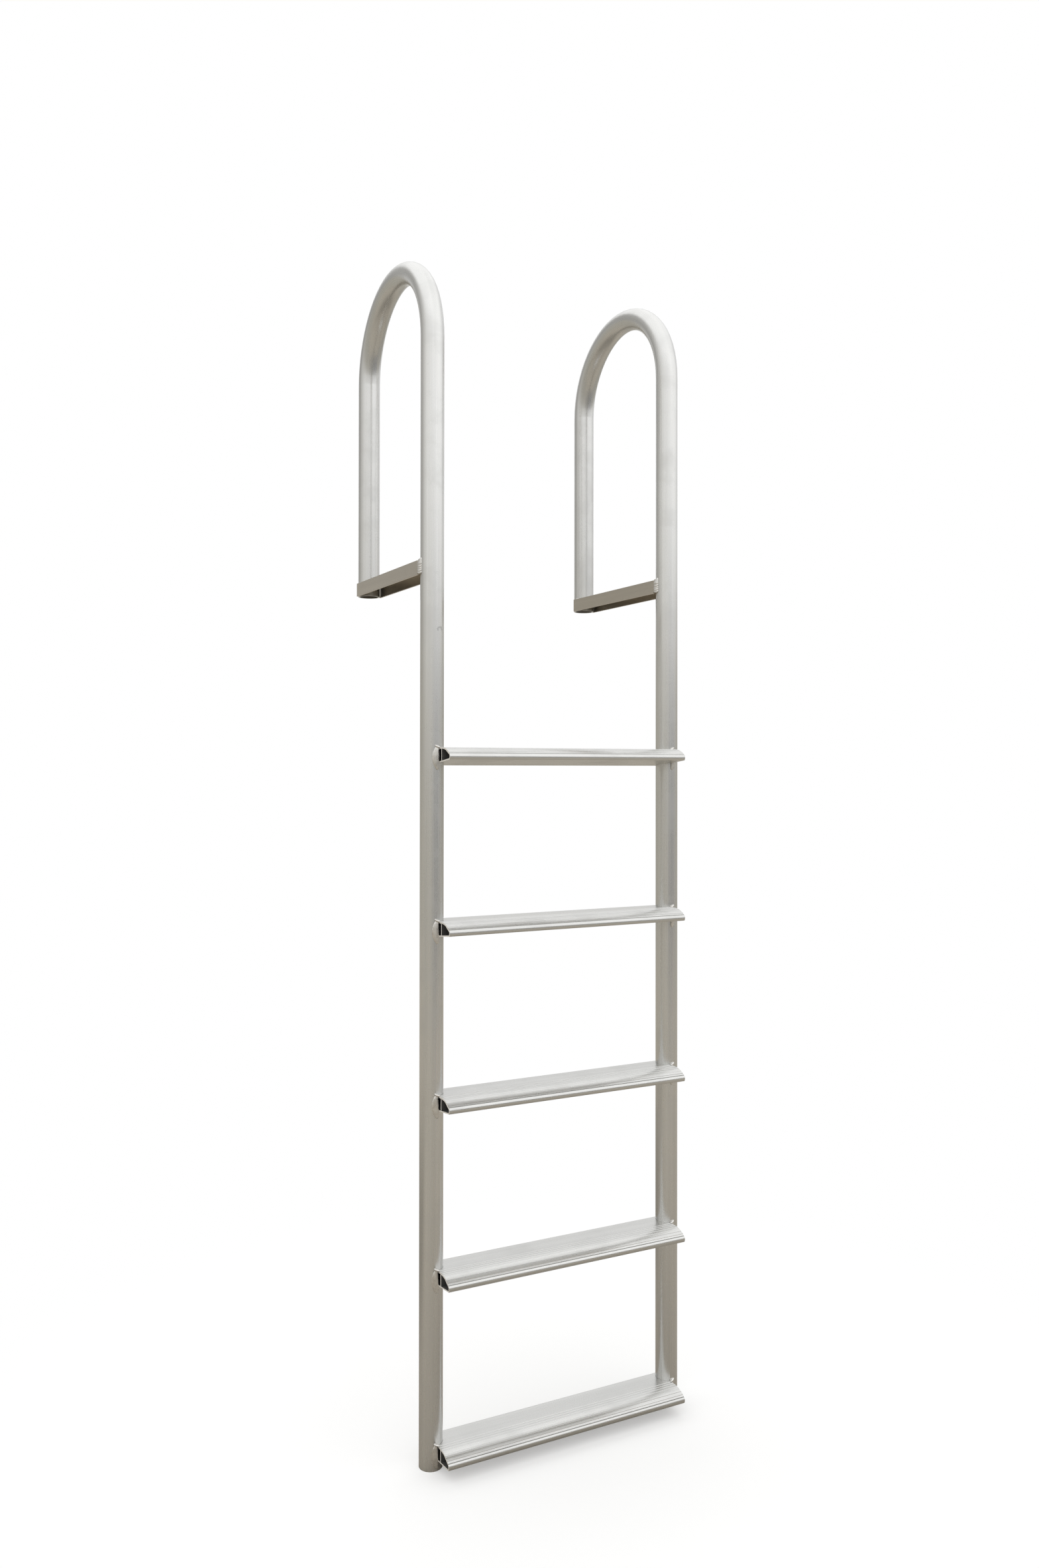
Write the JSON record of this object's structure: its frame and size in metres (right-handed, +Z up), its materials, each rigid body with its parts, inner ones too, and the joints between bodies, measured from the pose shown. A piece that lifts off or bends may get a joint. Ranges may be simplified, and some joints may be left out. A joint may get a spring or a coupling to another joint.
{
  "type": "aluminium dock ladder with hooped handrails and five treads",
  "caption": "Welded aluminium dock ladder: two round tube rails hooped over at the top, ribbed hollow treads between them, and channel bars that bolt to the dock.",
  "frame": {"origin": "centre of the left return leg's cut end, on the plane of the dock's surface", "axes": "+X along the treads to the right rail, -Y to the water where the tread noses point, +Z up"},
  "size_m": [0.5484, 0.4096, 2.1717],
  "materials": {
    "rail_tube": "satin",
    "tread_extrusion": "satin",
    "bar_channel": "satin",
    "weld_bead": "satin"
  },
  "bodies": {
    "root": {"left_rail": "rail_tube", "left_mounting_bar": "bar_channel", "left_bar_stile_weld": "weld_bead", "left_bar_leg_weld": "weld_bead", "right_rail": "rail_tube", "right_mounting_bar": "bar_channel", "right_bar_stile_weld": "weld_bead", "right_bar_leg_weld": "weld_bead", "tread_1": "tread_extrusion", "tread_1_left_weld": "weld_bead", "tread_1_right_weld": "weld_bead", "tread_2": "tread_extrusion", "tread_2_left_weld": "weld_bead", "tread_2_right_weld": "weld_bead", "tread_3": "tread_extrusion", "tread_3_left_weld": "weld_bead", "tread_3_right_weld": "weld_bead", "tread_4": "tread_extrusion", "tread_4_left_weld": "weld_bead", "tread_4_right_weld": "weld_bead", "tread_5": "tread_extrusion", "tread_5_left_weld": "weld_bead", "tread_5_right_weld": "weld_bead"}
  },
  "joints": []
}
